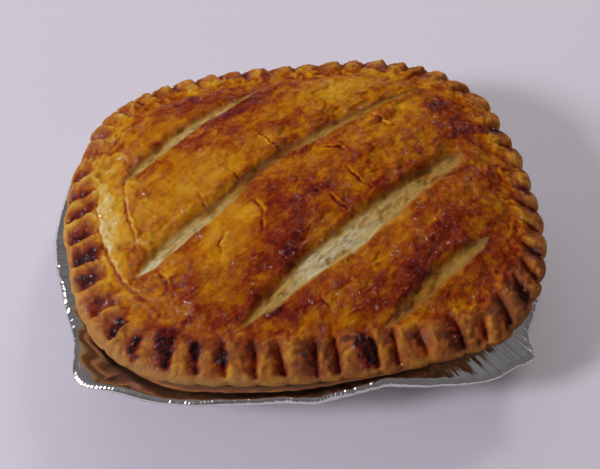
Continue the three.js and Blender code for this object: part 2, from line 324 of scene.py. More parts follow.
# Foil tray: wall, flange and the lip turned down at the rim, the sizes of the folds in them, and the
# places where they were bent, by the angle of the middle and the spread in degrees
TRAY_COLUMNS = 2880
TRAY_PLEATS = 80
FLANGE_WIDTH = 9
FLANGE_EDGE = 1.2
FLANGE_RINGS = 8
WALL_LEAN = 10
FLOOR_RADIUS = 3
LIP_DROP = 2.2
LIP_FLARE = 1.3
LIP_FOLD = 0.9
FOLD_SIZE = 1.5
RIM_FOLD_SIZE = 1.3
POCKET = dict(at=-141, spread=13, dip=3.4)
FRONT_DIP = dict(at=-100, spread=24, dip=4.2)
BENT_CORNER = dict(at=-50, spread=14, drop=4)
LOW_LIP = dict(at=-148, spread=30, share=0.6)
FLARED_LIP = dict(at=-72, spread=9, more=1.2)
LIP_PLEATS = dict(at=-80, spread=40, count=480, least=0.2, more=1.9)

# Camera, from the perspective of the lid's outline in the photograph: 55 degrees above the table, a
# little to the left, with its distance and target in mm
CAMERA_ELEVATION = 55
CAMERA_AZIMUTH = -8.07
CAMERA_DISTANCE = 398.8
CAMERA_TARGET = (-3.32, -12.7, SEAM + 2.4)
CAMERA_LENS = 60
CAMERA_SENSOR = 36

# Studio, in metres: what the lights are turned towards, and half the side of the wide floor
LIGHT_TARGET = (0, 0, 0.03)
FLOOR_HALF = 12


# Curves and noise

def hump(away, spread):
    """Bell curve: e to the minus square of the distance in spreads."""
    return np.exp(-((away / spread) ** 2))


def bell(degrees, at, spread):
    """Bell curve round an angle."""
    return hump((degrees - at + 180) % 360 - 180, spread)


def near(degrees, place):
    """Bell curve round a named place."""
    return bell(degrees, place["at"], place["spread"])


def smooth(start, end, value):
    """0 before start, 1 after end, and three squares less two cubes of the share between them."""
    share = np.clip((value - start) / (end - start), 0, 1)
    return share * share * (3 - 2 * share)


def blend(first, second, share):
    """From the first at a share of 0 to the second at 1."""
    return first * (1 - share) + second * share


def turned(x, y, turn):
    """Distances along and across a direction at an angle in radians."""
    return x * np.cos(turn) + y * np.sin(turn), y * np.cos(turn) - x * np.sin(turn)


def cell(x, y):
    """Column and row of a grid for each place."""
    return np.floor(x).astype(np.int64), np.floor(y).astype(np.int64)


def outline(shape, degrees, inward=0, bulge_share=1):
    """Rounded oblong: half sizes less the inward distance, times the radius of the curve whose powers
    of cosine and sine add up to one, pushed out by the bulges' bell curves."""
    turn = np.radians(degrees)
    power = shape["squareness"]
    radius = (np.abs(np.cos(turn)) ** power + np.abs(np.sin(turn)) ** power) ** (-1 / power)
    x = (shape["half_length"] - inward) * radius * np.cos(turn)
    y = (shape["half_width"] - inward) * radius * np.sin(turn)
    out = sum(reach * bell(degrees, at, spread) for at, spread, reach in shape["bulges"])
    grow = 1 + bulge_share * out / np.hypot(x, y)
    return x * grow + shape["middle"][0], y * grow + shape["middle"][1]


def lattice(column, row, seed):
    """Scattered number from 0 to 1 for each column and row, by mixing bits."""
    bits = (column * 374761393 + row * 668265263 + seed * 974711) & 0xFFFFFFFF
    bits = ((bits ^ (bits >> 13)) * 1274126177) & 0xFFFFFFFF
    return ((bits ^ (bits >> 16)) & 0xFFFF) / 0xFFFF


def waves(x, y, size, seed, octaves=2):
    """Rolling noise from -1 to 1: scattered numbers on a grid of that size, blended smoothly, with
    finer grids at half the strength added, each turned against the one before."""
    total, strength, most = 0, 1, 0
    for octave in range(octaves):
        u, v = turned(x, y, -(0.7 + 0.9 * octave + seed))
        u, v = u / size * 2**octave, v / size * 2**octave
        column, row = cell(u, v)
        a, b = smooth(0, 1, u - column), smooth(0, 1, v - row)
        key = seed * 17 + octave
        low = blend(lattice(column, row, key), lattice(column + 1, row, key), a)
        high = blend(lattice(column, row + 1, key), lattice(column + 1, row + 1, key), a)
        total = total + strength * (2 * blend(low, high, b) - 1)
        most += strength
        strength /= 2
    return total / most


def pulled_about(x, y, reach, size, seed, octaves):
    """Places moved up to a reach each way by noise."""
    return x + reach * waves(x, y, size, seed, octaves), y + reach * waves(x, y, size, seed + 1, octaves)


def plates(x, y, size, seed):
    """Flakes: each place takes the height and tilt of the nearest of points scattered one to a grid's
    cell."""
    column, row = cell(x / size, y / size)
    nearest = np.full(np.shape(x), 9.0)
    height = np.zeros(np.shape(x))
    for step in range(9):
        c = column + step % 3 - 1
        r = row + step // 3 - 1
        dx = x / size - c - lattice(c, r, seed)
        dy = y / size - r - lattice(c, r, seed + 1)
        away = np.hypot(dx, dy)
        tilt = 2 * np.pi * lattice(c, r, seed + 2)
        own = 1.4 * (lattice(c, r, seed + 3) - 0.5) + 0.6 * (dx * np.cos(tilt) + dy * np.sin(tilt))
        height = np.where(away < nearest, own, height)
        nearest = np.minimum(nearest, away)
    return height


def along_curve(x, y, points):
    """Distance from a line of points, to its left if positive, and the share of the way along it."""
    ends = np.array(points, float)
    lengths = np.hypot(*np.diff(ends, axis=0).T)
    starts = np.concatenate([[0], np.cumsum(lengths)])
    nearest = np.full(np.shape(x), 1e9)
    side = np.zeros(np.shape(x))
    way = np.zeros(np.shape(x))
    for (ax, ay), (bx, by), length, start in zip(ends[:-1], ends[1:], lengths, starts):
        ux, uy = (bx - ax) / length, (by - ay) / length
        ahead = np.clip((x - ax) * ux + (y - ay) * uy, 0, length)
        dx, dy = x - ax - ahead * ux, y - ay - ahead * uy
        distance = np.hypot(dx, dy)
        closer = distance < nearest
        nearest = np.where(closer, distance, nearest)
        side = np.where(closer, np.sign(ux * dy - uy * dx), side)
        way = np.where(closer, (start + ahead) / starts[-1], way)
    return nearest * side, way


def ellipses(x, y, places, power=1):
    """Sum of soft ellipses: each amount times e to the minus square of the distance in half sizes. A
    higher power of that square gives a sharper edge."""
    total = np.zeros(np.shape(x))
    for centre_x, centre_y, long, wide, turn, amount in places:
        along, across = turned(x - centre_x, y - centre_y, np.radians(turn))
        total = total + amount * np.exp(-(((along / long) ** 2 + (across / wide) ** 2) ** power))
    return total


# Meshes

def tray_shift():
    """Where the plan lies in the frame: the middle of the tray's box there, less its outline's."""
    low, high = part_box("foil_tray")
    x, y = outline(TRAY, np.linspace(0, 360, 3601))
    return np.array([
        (low.x + high.x) / 2 / MM - (x.min() + x.max()) / 2,
        (low.y + high.y) / 2 / MM - (y.min() + y.max()) / 2,
        0,
    ])


SHIFT = tray_shift()


def ring_faces(counts):
    """Faces from a pole through rings of so many points to another pole. Rings of one count are joined
    by quads, and a ring to one of half its count by three triangles for each pair."""
    starts = np.cumsum([1, *counts])
    i = np.arange(counts[0])
    faces = np.stack([0 * i, 1 + (i + 1) % counts[0], 1 + i], 1).tolist()
    for start, inner_start, count, inner_count in zip(starts, starts[1:], counts, counts[1:]):
        i = np.arange(inner_count)
        after = (i + 1) % inner_count
        if inner_count == count:
            faces += np.stack([start + i, start + after, inner_start + after, inner_start + i], 1).tolist()
        else:
            a, b, c = start + 2 * i, start + 2 * i + 1, start + (2 * i + 2) % count
            d, e = inner_start + i, inner_start + after
            faces += np.concatenate([np.stack(t, 1) for t in ((a, b, d), (b, e, d), (b, c, e))]).tolist()
    i = np.arange(counts[-1])
    start = starts[-2]
    return faces + np.stack([start + i, start + (i + 1) % counts[-1], 0 * i + starts[-1]], 1).tolist()


def ring_mesh(name, rings, first_pole, last_pole, attributes=None):
    """Closed surface through rings of points, from one pole to the other. The poles take the attributes
    of the points beside them."""
    points = np.concatenate([[first_pole], *rings, [last_pole]])
    mesh = bpy.data.meshes.new(name)
    mesh.from_pydata(((points + SHIFT) * MM).tolist(), [], ring_faces([len(ring) for ring in rings]))
    for key, values in (attributes or {}).items():
        layer = mesh.attributes.new(key, "FLOAT", "POINT")
        layer.data.foreach_set("value", np.concatenate([values[:1], values, values[-1:]]).astype(np.float32))
    mesh.shade_smooth()
    return mesh


def new_object(name, data):
    """An object of the scene, from its data."""
    made = bpy.data.objects.new(name, data)
    bpy.context.scene.collection.objects.link(made)
    return made


def piece(mesh, node, material):
    """The mesh as an object that rides on the row's one body and stands for a solid."""
    made = new_object(mesh.name, mesh)
    mesh.materials.append(material)
    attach(made, "root")
    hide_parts(node)
    return made


# Lid

def crimp_columns():
    """Columns round the lid: angle, phase from groove to groove, and number of the crimp. The crimps
    lie end to end along the outline, counter-clockwise from the first groove."""
    fine = FIRST_GROOVE + np.linspace(0, 360, 2881)
    x, y = outline(CRUST, fine)
    length = np.concatenate([[0], np.cumsum(np.hypot(np.diff(x), np.diff(y)))])
    widths = np.array(CRIMP_WIDTHS, float)
    starts = np.concatenate([[0], np.cumsum(widths)[:-1]])
    phase = np.tile(np.arange(CRIMP_COLUMNS) / CRIMP_COLUMNS, len(widths))
    number = np.repeat(np.arange(len(widths)), CRIMP_COLUMNS)
    along = (starts[number] + phase * widths[number]) * length[-1] / widths.sum()
    return np.interp(along, length, fine), phase, number


def dome(x, y):
    """Smooth dome: edge height plus the rise times one less a power of the share of the way out."""
    power = CRUST["squareness"]
    out = np.abs(x / CRUST["half_length"]) ** power + np.abs(y / CRUST["half_width"]) ** power
    return LID_EDGE + DOME_RISE * (1 - out ** (DOME_POWER / power))


def round_the_rim(key, degrees):
    """A value of the rim's table, drawn straight between its angles."""
    return np.interp((degrees + 180) % 360 - 180, RIM[:, 0], RIM[:, RIM_VALUES.index(key)])


def groove_lines():
    """The groove between each two crimps: where it starts on the edge, and its angle there."""
    degrees, phase, _ = crimp_columns()
    starts = degrees[phase == 0]
    return (*outline(CRUST, starts), starts)


def between_grooves(x, y, number):
    """Distances from the groove behind and the one ahead, across the lines along which they run inward.
    Each line swings and wavers by its own luck."""
    start_x, start_y, start_degrees = groove_lines()
    behind, ahead = np.full(x.shape, GROOVE_FARTHEST), np.full(x.shape, GROOVE_FARTHEST)
    for step in (-1, 0, 1, 2):
        groove = (number + step) % len(start_x)
        luck = lattice(groove, groove * 0, 9)
        turn = np.radians(round_the_rim("turn", start_degrees[groove]) + GROOVE_SWING * (luck - 0.5))
        inward, offset = turned(x - start_x[groove], y - start_y[groove], turn)
        offset = offset + GROOVE_WAVER * waves(inward, groove * 9.0, 7, 10)
        ahead = np.where(offset >= 0, np.minimum(ahead, offset), ahead)
        behind = np.where(offset < 0, np.minimum(behind, -offset), behind)
    return behind, ahead


def crimped(x, y, degrees, number, depth_in):
    """Relief of the crimps, which lie like shingles. From each groove the pastry rises in a rounded
    step to a crest, then falls off to the next by a power of the share of the way, and its outer end is
    rounded off. Also gives how far down that slope a place lies, from 0 to 1, where the glaze pools and
    where painted shade darkens the crimp's flank."""
    behind, ahead = between_grooves(x, y, number)
    way = behind / (behind + ahead)
    crest = smooth(0, CREST_AT, way) * (1 - np.clip((way - CREST_AT) / (1 - CREST_AT), 0, 1) ** CREST_FALL)
    reach = round_the_rim("length", degrees) + 3 * waves(x, y, 9, 30)
    margin = round_the_rim("margin", degrees) + waves(x, y, 5, 11)
    shown = smooth(0.2 * margin, margin + 1.2, depth_in) * smooth(reach + 3, reach - 4, depth_in)
    groove = hump(np.minimum(behind, ahead), GROOVE_HALF)
    past_end = np.clip(1 - depth_in / CRIMP_END_RADIUS, 0, 1)
    rounding = CRIMP_END_RADIUS * (1 - np.sqrt(1 - 0.8 * past_end**2))
    relief = shown * (round_the_rim("ridge", degrees) * (crest - 0.55) - GROOVE_DEPTH * groove) - rounding
    # Darkening down the slope to the next groove and in it: partly glaze that pools there, partly painted
    # shade on the crimp's shaded flank
    begin = 0.5 - round_the_rim("pooled", degrees)
    return relief, shown * np.maximum(smooth(begin, begin + 0.75, way), groove)


def drawn_in(degrees, phase, depth_in):
    """How far the edge draws in between the rounded ends of the ridges, fading out inward. A power of
    the phase puts their tips past the middle."""
    round_end = np.sqrt(np.maximum(1 - (2 * phase**CRIMP_LEAN - 1) ** 2, 0))
    return round_the_rim("scallop", degrees) * (1 - round_end) * np.maximum(1 - depth_in / SCALLOP_FADE, 0)


def slash_at(x, y, slash, seed):
    """Place in a slash: share of the way along, distances along and across its bent line, and half its
    floor's width. The floor's edges waver."""
    along, across = turned(x, y, np.radians(slash["turn"]))
    share = (along - slash["start"]) / (slash["end"] - slash["start"])
    inside = np.clip(share, 0, 1)
    half = np.interp(inside, *np.transpose(slash["widths"])) / 2
    half = half * (1 + 0.16 * waves(along, along * 0, 8, seed, 3))
    bend = np.interp(inside, *np.transpose(slash["bend"]))
    across = across - slash["across"] - bend
    return share, along, across + 0.6 * waves(x, y, 4, seed + 10, 3), np.maximum(half, 0.2)


def one_slash(x, y, slash, number):
    """Relief and look of a slash: depth, raised lips, bare dough and its browning, and the puffed
    panels beyond. The floor slopes down from the near lip to the far wall, with streaks and pits. The far
    wall is browned and also darkened as painted shade, and the floor's foot by it is painted shade."""
    share, along, across, half = slash_at(x, y, slash, 40 + number)
    ends = smooth(-0.02, 0.01, share) * smooth(1.02, 0.99, share)
    narrow = np.minimum(1, half / 1.5)
    wall = np.clip((across - half) / (slash["wall"] * narrow), 0, 1)
    lip = np.clip((-across - half) / (slash["lip"] * narrow), 0, 1)
    slope = 0.55 + 0.45 * np.clip((across + half) / (2 * half), 0, 1)
    hollow = (1 - wall) * (1 - lip) * ends
    streaks = waves(along / 3, across, 1.3, 60 + number, 2)
    pits = smooth(0.1, 0.5, waves(along / 2.4, across, 2.4, 70 + number, 3))
    baked = np.interp(np.clip(share, 0, 1), *np.transpose(slash["browned"]))
    baked = baked + 0.3 * slash["yellow"] * smooth(0, 0.8, lip) + 0.24 * pits + 0.1 * streaks
    beyond = np.maximum(np.maximum(across - half - slash["wall"], -across - half - slash["lip"]), 0)
    past_end = np.maximum(np.abs(share - 0.5) - 0.5, 0) * (slash["end"] - slash["start"])
    return dict(
        depth=hollow * slope * slash["depth"] * narrow - hollow**2 * (0.3 * streaks - 0.9 * pits),
        lips=ends * hump(beyond - 0.3, 0.8),
        dough=smooth(0.5, 0, wall) * smooth(1, 0.3, lip) * ends,
        # The far wall darkens partly by browning and partly as painted shade, and the floor at its foot as
        # painted shade
        browning=baked + 0.24 * smooth(0, 0.4, wall) + 0.12 * smooth(-2.2, 0.3, across - half),
        puff=1 - np.exp(-np.hypot(beyond, past_end) / PUFF_REACH),
    )


def slashed(x, y):
    """All the slashes: depths and lips added up, the barest dough with its browning, and the least
    puff."""
    depth, lips, dough, browning = (np.zeros(x.shape) for _ in range(4))
    puff = np.ones(x.shape)
    for number, slash in enumerate(SLASHES):
        one = one_slash(x, y, slash, number)
        depth = depth + one["depth"]
        lips = lips + one["lips"]
        browning = np.where(one["dough"] > dough, one["browning"], browning)
        dough = np.maximum(dough, one["dough"])
        puff = np.minimum(puff, one["puff"])
    return dict(depth=depth, lips=lips, dough=dough, browning=browning, puff=puff)


def torn_flakes(x, y):
    """Steps of the puffed panels and torn flakes: raised on one side, falling off behind, with a crack
    at the foot that comes and goes. Also gives their shade, less than 0 on the pale edge, partly the
    cream of torn pastry and partly painted highlight, and more at the dark foot, painted shade in the
    crack."""
    height = np.zeros(x.shape)
    shade = np.zeros(x.shape)
    wandering = pulled_about(x, y, 1.6, 5, 80, 3)
    open_here = smooth(-0.7, 0.1, waves(x, y, 6, 82, 2))
    for points, step, reach, browner in FLAKES:
        distance, way = along_curve(*wandering, points)
        strength = np.sin(np.pi * np.clip(way, 0.03, 0.97)) ** 0.5
        raised = smooth(-0.4, 0.6, distance) * np.exp(-np.maximum(distance, 0) / reach)
        foot = hump(distance + 0.3, 0.4) * open_here
        edge = hump(distance - 0.5, 0.5) * open_here
        height = height + step * strength * (raised * (0.5 + 0.5 * open_here) - 0.25 * foot)
        # Painted shade in the crack at the foot, painted highlight (partly cream torn pastry) on the raised
        # edge, and real browning of the raised side
        shade = shade + strength * (0.4 * foot - 0.22 * edge + browner * raised)
    return height, shade


def crumbly(x, y):
    """Rough crumb of the baked surface, from about -1 to 1: two sizes of pulled-about noise."""
    bent_x, bent_y = pulled_about(x, y, 1.5, 5, 16, 2)
    return 0.5 * waves(bent_x, bent_y, 4, 3, 2) + 0.75 * waves(bent_x, bent_y, 1.7, 4, 2)


def along_strokes(x, y, stretch):
    """Places along and across the brush strokes, shortened along them so that a pattern is
    stretched."""
    along, across = turned(x, y, np.radians(STREAK_TURN))
    return along / stretch, across


def flaky(x, y):
    """Flakes of the risen skin, from about -1 to 1: large and small plates, longer along the brush
    strokes."""
    along, across = along_strokes(*pulled_about(x, y, 2.2, 6, 26, 3), 1.6)
    return 0.6 * plates(along, across, 7, 90) + 0.5 * plates(along, across, 3.4, 94)


def left_border(x, y):
    """1 along the border at the left, 0 on the rest of the lid."""
    return smooth(-52, -66, x + 0.2 * y)


def skin_relief(x, y, inner, crumb, flakes):
    """Relief of the baked skin: wide blisters, flakes that grow towards the right, and crumb along the
    left border and on the rim."""
    wide = 0.7 * waves(x, y, 24, 1, 2)
    layered = (0.35 + 0.9 * smooth(-30, 30, x + 0.3 * y)) * flakes
    return inner * (wide + layered) + crumb * np.maximum(0.4 + left_border(x, y), 1.2 * (1 - inner))


def skin_browning(x, y):
    """Browning of the skin: its own, the patches with pulled-about edges, and streaks along the brush
    strokes, stronger where it is browner."""
    bent = pulled_about(x, y, 5, 9, 5, 4)
    browned = SKIN_BROWNING + ellipses(*bent, PATCHES)
    streaks = waves(*along_strokes(*bent, 2.2), 4, 8, 3)
    return browned + 0.06 * waves(x, y, 17, 7, 2) + 0.55 * (browned - 0.3) * streaks


def run_over(degrees):
    """Thin glaze that ran over the edge, where the plain margin is narrow."""
    return RUN_OVER * smooth(WIDE_MARGIN, NARROW_MARGIN, round_the_rim("margin", degrees))


def rim_browning(x, y, degrees, pooled, depth_in, crumb):
    """Browning of the rim: ridges and border by its table, darker down each crimp's slope, partly where
    the glaze pools and partly as painted shade on the shaded flank, and in hollows of the crumb, and the
    margin that the glaze mostly missed. Also gives the glaze."""
    reach = round_the_rim("length", degrees)
    share = smooth(reach - 4, reach + 3, depth_in)
    own = blend(round_the_rim("browning", degrees), round_the_rim("border", degrees), share)
    clouds = 0.16 * waves(x, y, 6, 18, 4)
    # Painted shade and pooling glaze darken each crimp down its slope
    brown = own + round_the_rim("pooled", degrees) * pooled - 0.25 * crumb + clouds
    margin = 0.7 * round_the_rim("margin", degrees) + 1.4 * waves(x, y, 5, 19, 3)
    coated = smooth(margin - 1.2, margin + 1.2, depth_in) * smooth(0, 1.2, depth_in)
    glaze = coated * (1 - 0.38 * (1 - pooled) * (1 - share))
    glaze = np.maximum(glaze, run_over(degrees))
    return blend(own - 0.3 * crumb + clouds, brown, coated), glaze


def lid_place(depth_in, scale, degrees, phase, number):
    """One band of the lid's top in plan: rings by distance in from the edge, then by scale of the
    innermost of them. Gives what shape and looks both need, as rings by columns."""
    inner_depth = depth_in + (1 - scale) * (CRUST["half_width"] - CRIMP_BAND)
    x, y = outline(CRUST, degrees + 0 * inner_depth, depth_in + drawn_in(degrees, phase, inner_depth))
    x, y = x * scale, y * scale
    at = SimpleNamespace(x=x, y=y, degrees=degrees + 0 * x, depth_in=inner_depth + 0 * x)
    at.inner = smooth(CRIMP_BAND - 4, CRIMP_BAND + 6, at.depth_in)
    at.crimp, at.pooled = crimped(x, y, at.degrees, number + 0 * x.astype(int), at.depth_in)
    at.cut = slashed(x, y)
    at.step, at.shade = torn_flakes(x, y)
    at.crumb = crumbly(x, y)
    at.flakes = flaky(x, y)
    at.blister = ellipses(x + at.crumb, y + at.flakes, BLISTERS, 2)
    return at


def lid_height(at):
    """Height of the lid's top: the dome, which sinks inside the crimps, the crimps, the valley, the
    skin's relief with puffed panels and torn flakes, flatter on bare dough, the blisters, and the
    slashes with their lips."""
    valley = VALLEY_DEPTH * hump(at.depth_in - CRIMP_BAND, VALLEY_WIDTH)
    relief = skin_relief(at.x, at.y, at.inner, at.crumb, at.flakes) * smooth(0, 1.5, at.depth_in)
    relief = relief + at.inner * PUFF * at.cut["puff"] + at.step
    z = dome(at.x, at.y) - DOME_SINK * at.inner + at.crimp - valley
    z = z + relief * (1 - 0.7 * at.cut["dough"]) + at.blister
    z = z - at.cut["depth"] * smooth(CRIMP_BAND - 8, CRIMP_BAND, at.depth_in)
    return z + 0.35 * at.cut["lips"] * at.inner


def lid_looks(at):
    """Looks of the lid's top. The browning is the rim's or the skin's, with the flakes' painted
    highlight and shade and browner raised sides, and burnt places, up to the darkest, and the slashes'
    own on bare dough. Skin and burnt places are glazed all over, the rim in part. The gloss is uneven,
    stronger on browner skin and the left border."""
    burnt = ellipses(at.x + at.crumb, at.y + at.flakes, BURNS, 2)
    burnt = burnt + BLISTER_BROWNING * np.minimum(at.blister, 1)
    charred = smooth(0.05, 0.2, burnt)
    rim, glaze = rim_browning(at.x, at.y, at.degrees, at.pooled, at.depth_in, at.crumb)
    glaze = np.maximum(blend(glaze, 1, at.inner), charred)
    skin = skin_browning(at.x, at.y) - 0.06 * at.crumb + 0.1 * at.flakes
    # at.shade holds the flakes' painted shade and highlight, with the browner raised sides
    browning = blend(rim, skin, at.inner) + at.shade + burnt
    browning = np.minimum(browning, DARKEST_BROWNING + CHARRED_BROWNING * charred)
    dough = at.cut["dough"] * smooth(CRIMP_BAND - 6, CRIMP_BAND + 2, at.depth_in)
    rim_gloss = 0.3 + 0.4 * at.pooled + waves(at.x, at.y, 5, 29, 3)
    skin_gloss = 0.45 + 1.5 * (skin - 0.45) + 0.8 * waves(at.x, at.y, 7, 28, 3)
    gloss = blend(rim_gloss, skin_gloss, at.inner) + charred + 0.8 * left_border(at.x, at.y)
    return dict(
        browning=blend(browning, at.cut["browning"], dough),
        dough=dough,
        glaze=glaze * (1 - dough),
        gloss=np.clip(gloss, 0, 1) * glaze * (1 - dough),
    )


def lid_top(depth_in, scale, degrees, phase, number):
    """One band of the lid's top: its points and their looks, each as rings by columns."""
    at = lid_place(depth_in, scale, degrees, phase, number)
    return dict(points=np.stack([at.x, at.y, lid_height(at)], -1), **lid_looks(at))


def lid_edge(degrees, phase, top):
    """Flat underside and rounded side of the lid by its profile, drawn in between the crimps and a
    little uneven."""
    rings = []
    for inward, share in EDGE_PROFILE:
        uneven = 0.5 * share * waves(degrees * ROUND_A_DEGREE, 0 * degrees + 6 * share, 3, 13, 3)
        x, y = outline(CRUST, degrees, inward + drawn_in(degrees, phase, 0) + uneven)
        rings.append(np.stack([x, y, SEAM + share * (top - SEAM)], -1))
    return np.array(rings)


def glazed_lid(material):
    """The lid as one closed surface: underside and side, crimped band, outer dome, then the inner dome
    with half as many columns."""
    columns = crimp_columns()
    fewer = [values[::2] for values in columns]
    bands = [
        lid_top(np.linspace(FIRST_RING, CRIMP_BAND, CRIMP_RINGS)[:, None], 1.0, *columns),
        lid_top(CRIMP_BAND, np.linspace(1, INNER_SCALE, OUTER_RINGS)[1:, None], *columns),
        lid_top(CRIMP_BAND, np.linspace(INNER_SCALE, 0, INNER_RINGS)[1:-1, None], *fewer),
    ]
    degrees, phase, _ = columns
    edge = lid_edge(degrees, phase, bands[0]["points"][0, :, 2])
    x, y, z = np.moveaxis(edge, -1, 0)
    browning = round_the_rim("browning", degrees) - 0.3 * crumbly(x + z, y)
    # Painted shade: darker in the seam's groove under the lid's edge
    browning = browning + PAINTED_SHADE_BROWNING * smooth(2, 0.6, z - SEAM)
    glaze = run_over(degrees) + 0 * z
    bands.insert(0, dict(points=edge, browning=browning, dough=0 * z, glaze=glaze, gloss=0 * z))
    rings = [ring for band in bands for ring in band["points"]]
    looks = {key: np.concatenate([band[key].ravel() for band in bands]) for key in LOOKS}
    mesh = ring_mesh("glazed_lid", rings, (0, 0, SEAM), rings[-1].mean(0), looks)
    return piece(mesh, "pastry_lid", material)


# Base crust

def base_rim(degrees):
    """Rounded, lumpy rim of the base, as rings from its foot up: a half-round, tucked in except along
    the front left, by a bell curve."""
    tuck = blend(BASE_SHOWING["tucked_in"], BASE_SHOWING["showing_in"], near(degrees, BASE_SHOWING))
    rings = []
    for turn in np.radians(np.linspace(-80, 80, BASE_RIM_RINGS)):
        place = degrees * ROUND_A_DEGREE, 0 * degrees + 8 * turn
        lump = 0.5 * waves(*place, 6, 21, 3) + 0.4 * waves(*place, 2, 22)
        inward = tuck + BASE_RIM_ROUND * (1 - np.cos(turn)) - lump * np.cos(turn)
        z = BASE_RIM_LOW + (BASE_TOP - BASE_RIM_LOW) * (1 + np.sin(turn)) / 2
        rings.append(np.stack([*outline(CRUST, degrees, inward), z + 0 * degrees], -1))
    return rings


def base_crust(material):
    """The base as one closed surface: floor and wall inside the tray, rim, and flat top under the lid,
    darker at the seam as painted shade, and from low on the rim down, partly browned and partly painted
    shade."""
    degrees = np.arange(BASE_COLUMNS) * 360 / BASE_COLUMNS
    wall = [np.stack([*outline(TRAY, degrees, inward, 0), z + 0 * degrees], -1) for inward, z in BASE_WALL]
    top = np.stack([*outline(CRUST, degrees, BASE_TOP_INSET), BASE_TOP + 0 * degrees], -1)
    rings = [*wall, *base_rim(degrees), top]
    x, y, z = np.concatenate(rings).T
    below = BASE_TOP - z
    # Painted shade at the seam, and from low on the rim down partly browning and partly painted shade
    browner = np.maximum(smooth(2.6, 1.2, below), smooth(3.5, 6, below))
    browning = BASE_BROWNING - 0.25 * crumbly(x, y + 2 * z) + PAINTED_SHADE_BROWNING * browner
    poles = (*TRAY["middle"], BASE_LOW), (*CRUST["middle"], BASE_TOP)
    mesh = ring_mesh("base_crust", rings, *poles, dict(browning=browning))
    return piece(mesh, "pastry_base", material)


# Foil tray

def folded(degrees, count):
    """Zigzag of rounded folds round the tray, from -1 to 1: the arc sine of a softened sine of the
    angle."""
    return np.arcsin(0.97 * np.sin(np.radians(degrees) * count)) / np.arcsin(0.97)


def crumpled(x, y, size, seed):
    """Crumpled foil, from 0 to 1: scattered heights on a grid, joined by flat three-cornered facets."""
    u, v = (x + 0.4 * y) / size, (y - 0.3 * x) / size
    column, row = cell(u, v)
    a, b = u - column, v - row
    first, last = lattice(column, row, seed), lattice(column + 1, row + 1, seed)
    right, up = lattice(column + 1, row, seed), lattice(column, row + 1, seed)
    lower = first + a * (right - first) + b * (up - first)
    upper = last + (1 - a) * (up - last) + (1 - b) * (right - last)
    return np.where(a + b < 1, lower, upper)


def round_noise(degrees, size, seed, octaves=1):
    """Noise round the tray that meets itself: taken along a circle of about the tray's size."""
    turn = np.radians(degrees)
    return waves(NOISE_RADIUS * np.cos(turn), NOISE_RADIUS * np.sin(turn), size, seed, octaves)


def flange_lift(degrees, x, y):
    """Lift of the flange from handling: folds, which the pocket has none of, flat facets, larger in the
    pocket, and slow dents."""
    pocket = near(degrees, POCKET)
    folding = 0.3 + smooth(-0.2, 0.4, round_noise(degrees, 22, 34)) + near(degrees, BENT_CORNER)
    folds = folding * (1 - pocket) * round_noise(degrees, FOLD_SIZE, 35, 2)
    creases = (0.5 + 1.6 * pocket) * crumpled(x, y, 7, 36) + 0.5 * (1 - pocket) * crumpled(x, y, 2.2, 37)
    return 0.6 * folds + creases + 0.8 * round_noise(degrees, 16, 32, 2)


def flange_drop(degrees, inward):
    """How far the flange is bent down: inward along the front and in the pocket, and outward at the
    bent corner."""
    share = np.clip(inward / FLANGE_WIDTH, 0, 1)
    dip = sum(place["dip"] * near(degrees, place) for place in (POCKET, FRONT_DIP))
    return dip * share + BENT_CORNER["drop"] * near(degrees, BENT_CORNER) * (1 - share)


def tray_ring(degrees, inward, z, wall=0, flange=0, rim=0, bulge=1):
    """Ring of the foil at a distance in from the rim. Pleats move the wall, finer ones, steepest along
    the front, move the rim, and the flange is lifted and bent down, each by a share."""
    uneven = 0.6 + 0.4 * round_noise(degrees, 14, 31, 2)
    pleat = uneven * folded(degrees, TRAY_PLEATS)
    steep = LIP_PLEATS["least"] + LIP_PLEATS["more"] * near(degrees, LIP_PLEATS)
    zigzag = uneven * folded(degrees, LIP_PLEATS["count"])
    fine = steep * (0.7 * round_noise(degrees, RIM_FOLD_SIZE, 33, 2) + zigzag)
    x, y = outline(TRAY, degrees, inward - wall * pleat - rim * fine, bulge)
    return np.stack([x, y, z + flange * (flange_lift(degrees, x, y) - flange_drop(degrees, inward))], -1)


